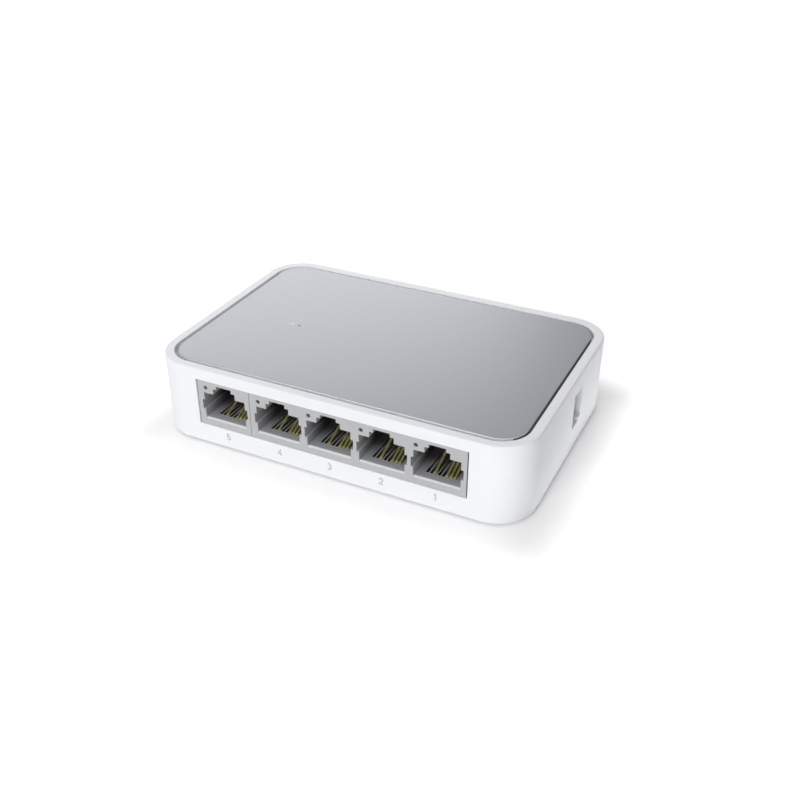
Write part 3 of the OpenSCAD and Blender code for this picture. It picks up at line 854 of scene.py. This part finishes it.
DIGITS = {
    "1": [[(-0.42, 1.52), (0.04, 1.86), (0.04, 0.0)]],
    "2": [arc(0.0, 1.38, 0.46, 165, -38) + [(-0.46, 0.17), (0.56, 0.17)]],
    "3": [arc(0.0, 1.4, 0.41, 155, -90), arc(0.0, 0.55, 0.45, 90, -155)],
    "4": [[(0.22, 0.0), (0.22, 1.8), (-0.52, 0.55)], [(-0.6, 0.5), (0.58, 0.5)]],
    "5": [[(0.46, 1.82), (-0.34, 1.82), (-0.4, 0.98)] + arc(0.0, 0.62, 0.46, 130, -150)],
}


def build_print():
    """Plain port numbers under the ports, and the power sign beside its light."""
    for port, x in enumerate(NUMBER_X, 1):
        bm = bmesh.new()
        for path, thick in zip(DIGITS[str(port)], PRINT_LIFTS):
            stroke(bm, path, NUMBER_STROKE, thick, lambda a, b, h: (x + a, FRONT - h, NUMBER_Z + b))
        piece(f"port_number_{port}", bm, [PRINT])
    bm = bmesh.new()
    x, y = POWER_LIGHT[0] + SIGN_DX, POWER_LIGHT[1]
    ring, bar = arc(0, 0, SIGN_RADIUS, -50, 230, 20), [(0, -0.25), (0, -0.95)]
    for path, thick in zip((ring, bar), PRINT_LIFTS):
        stroke(bm, path, SIGN_STROKE, thick, lambda a, b, h: (x + a, y + b, PANEL_TOP + h))
    piece("power_sign", bm, [PRINT_WHITE])


build_shell()
build_panel()
build_jack("jack_of_four", "jack_block", BLOCK, PORT_X[:4])
build_jack("jack_of_one", "jack_single", SINGLE, PORT_X[4:])
for port, port_middle in enumerate(PORT_X, 1):
    build_comb(port, port_middle)
    build_springs(port, port_middle)
    build_light_pipe(port, port_middle)
build_inlet()
build_feet()
build_print()

FINISHES = {
    "base": BASE_WHITE, "circuit_board": BOARD, "port_light_chips": LAMP,
    "power_light_chip": LAMP, "power_light_pipe": PIPE_CLEAR, "inlet_housing": INLET,
    "inlet_lugs": PLATED, "switch_chip": CHIP, "switch_chip_leads": PLATED,
    "transformer_long": CHIP, "transformer_short": CHIP, "crystal": CAN,
    "capacitor_large": SLEEVE, "capacitor_small": SLEEVE, "inductor": FERRITE,
    "regulator": CHIP, "chip_parts": TAN, "base_screws": STEEL, "board_screws": STEEL,
}
FINISHES.update({f"port_{port}_tails": TAIL_GOLD_SHADE for port in range(1, len(PORT_X) + 1)})
for node, finish in FINISHES.items():
    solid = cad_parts[node]
    solid.data.materials.clear()
    solid.data.materials.append(finish)


# Stage, light and camera, in metres

# (reach, glow) spans: near the case the glow is lower, a painted shadow around the case on top of the real
# shadow the floor keeps; far off it is as white as the world
FLOOR_GLOW_AND_PAINTED_SHADE = (((0.0, 0.014), (0.12, 0.46)), ((0.3, 1.0), (0.0, 0.6)))
FLOOR_HALF, FLOOR_COLOUR = 3.0, (0.9, 0.9, 0.9, 1.0)
WORLD_LEVEL = 0.13
MIDDLE = (0.0, 0.0, 0.01)
STRIP_Z = 0.0006


def math_node(nodes, links, operation, first, second):
    node = nodes.new("ShaderNodeMath")
    node.operation = operation
    links.new(first, node.inputs[0])
    links.new(second, node.inputs[1])
    return node.outputs[0]


def seen_rays(nodes, links):
    """1 for a camera, glossy or transmission ray, otherwise 0."""
    path = nodes.new("ShaderNodeLightPath")
    value = path.outputs["Is Camera Ray"]
    for other in ("Is Glossy Ray", "Is Transmission Ray"):
        value = math_node(nodes, links, "MAXIMUM", value, path.outputs[other])
    return value


def smooth_rise(nodes, links, value, reach, glow):
    """Value that rises smoothly from one glow to another over a reach."""
    rise = nodes.new("ShaderNodeMapRange")
    rise.interpolation_type = "SMOOTHSTEP"
    for name, number in zip(("From Min", "From Max", "To Min", "To Max"), reach + glow):
        rise.inputs[name].default_value = number
    links.new(value, rise.inputs["Value"])
    return rise.outputs["Result"]


def reach_from_case(nodes, links):
    """Distance of a floor point from the box of the case."""
    value = nodes.new("ShaderNodeTexCoord").outputs["Object"]
    half = (WIDTH / 2 * MM, DEPTH / 2 * MM, 0)
    steps = (("ABSOLUTE", None), ("SUBTRACT", half), ("MAXIMUM", (0, 0, 0)), ("LENGTH", None))
    for operation, other in steps:
        node = nodes.new("ShaderNodeVectorMath")
        node.operation = operation
        links.new(value, node.inputs[0])
        if other:
            node.inputs[1].default_value = other
        value = node.outputs["Value" if operation == "LENGTH" else "Vector"]
    return value


def floor_material():
    """Pale matt finish with a glow that only seen rays meet; the glow is lower near the case, which paints
    a shadow around it.
    """
    material = bpy.data.materials.new("floor_white")
    material.use_nodes = True
    nodes, links = material.node_tree.nodes, material.node_tree.links
    nodes.clear()
    diffuse = nodes.new("ShaderNodeBsdfDiffuse")
    diffuse.inputs["Color"].default_value = FLOOR_COLOUR
    glow = nodes.new("ShaderNodeEmission")
    reach = reach_from_case(nodes, links)
    # The near span paints a shadow close to the case
    near, far = [smooth_rise(nodes, links, reach, *spans) for spans in FLOOR_GLOW_AND_PAINTED_SHADE]
    rises = math_node(nodes, links, "ADD", near, far)
    level = math_node(nodes, links, "MULTIPLY", seen_rays(nodes, links), rises)
    links.new(level, glow.inputs["Strength"])
    both = nodes.new("ShaderNodeAddShader")
    links.new(diffuse.outputs[0], both.inputs[0])
    links.new(glow.outputs[0], both.inputs[1])
    out = nodes.new("ShaderNodeOutputMaterial")
    links.new(both.outputs[0], out.inputs["Surface"])
    return material


def build_stage():
    """Pale floor that looks white in the open, keeps the object's shadow and adds a painted shadow near the
    case.
    """
    bm = bmesh.new()
    bmesh.ops.create_grid(bm, x_segments=8, y_segments=8, size=FLOOR_HALF)
    mesh = bpy.data.meshes.new("floor")
    bm.to_mesh(mesh)
    bm.free()
    mesh.materials.append(floor_material())
    floor = bpy.data.objects.new("floor", mesh)
    bpy.context.scene.collection.objects.link(floor)


def build_world():
    """White for seen rays, and a low even light for all others."""
    world = bpy.data.worlds.new("studio")
    bpy.context.scene.world = world
    world.use_nodes = True
    nodes, links = world.node_tree.nodes, world.node_tree.links
    nodes.clear()
    strength = nodes.new("ShaderNodeMapRange")
    strength.inputs["To Min"].default_value = WORLD_LEVEL
    strength.inputs["To Max"].default_value = 1.0
    links.new(seen_rays(nodes, links), strength.inputs["Value"])
    sky = nodes.new("ShaderNodeBackground")
    sky.inputs["Color"].default_value = (1.0, 1.0, 1.0, 1.0)
    links.new(strength.outputs["Result"], sky.inputs["Strength"])
    out = nodes.new("ShaderNodeOutputWorld")
    links.new(sky.outputs[0], out.inputs["Surface"])


def softbox(name, spot, aim, size, power, mirrored=True):
    """Flat lamp; one that isn't mirrored lights the object but is left out of its reflections."""
    lamp = bpy.data.lights.new(name, "AREA")
    lamp.shape = "RECTANGLE"
    lamp.size, lamp.size_y = size
    lamp.energy = power
    obj = bpy.data.objects.new(name, lamp)
    bpy.context.scene.collection.objects.link(obj)
    obj.location = spot
    obj.visible_glossy = mirrored
    obj.rotation_euler = (Vector(aim) - Vector(spot)).to_track_quat("-Z", "Y").to_euler()


def floor_strip(name, x, y, size, power):
    """Small lamp that faces up, for the light a white table throws back at the right wall."""
    softbox(name, (x, y, STRIP_Z), (x, y, 1.0), size, power, mirrored=False)


def build_camera():
    """Camera fitted to the edges of the case in the photo."""
    camera = bpy.data.cameras.new("camera")
    camera.sensor_width = 36.0
    camera.lens = 44.5161
    camera.clip_start = 0.01
    camera.clip_end = 20.0
    obj = bpy.data.objects.new("camera", camera)
    bpy.context.scene.collection.objects.link(obj)
    right = Vector((0.901018, 0.433769, 0.003209))
    up = Vector((-0.229983, 0.471418, 0.851395))
    back = Vector((0.367796, -0.76786, 0.524515))
    turn = Matrix((right, up, back)).transposed().to_4x4()
    spot = (0.103499, -0.208339, 0.147022)
    obj.matrix_world = Matrix.Translation(spot) @ turn
    bpy.context.scene.camera = obj


build_stage()
build_world()
softbox("main", (0.05, -1.44, 0.65), MIDDLE, (0.9, 0.6), 16.9, mirrored=False)
softbox("top_left", (-0.45, -0.18, 1.33), MIDDLE, (0.6, 0.6), 2.8)
softbox("top_right", (0.25, -0.15, 1.4), MIDDLE, (0.6, 0.6), 2.3)
softbox("back", (-0.1, 1.35, 0.3), MIDDLE, (0.9, 0.4), 4.5, mirrored=False)
softbox("rear", (-0.711, 0.847, 0.492), (0.0, 0.0, 0.02), (1.05, 0.36), 3.7)
floor_strip("bounce_front", 0.0585, -0.014, (0.011, 0.028), 0.001)
floor_strip("bounce_rear", 0.063, 0.025, (0.018, 0.05), 0.0035)
floor_strip("bounce_corner", 0.066, -0.052, (0.02, 0.02), 0.0018)
build_camera()
bpy.context.scene.view_settings.view_transform = "Standard"
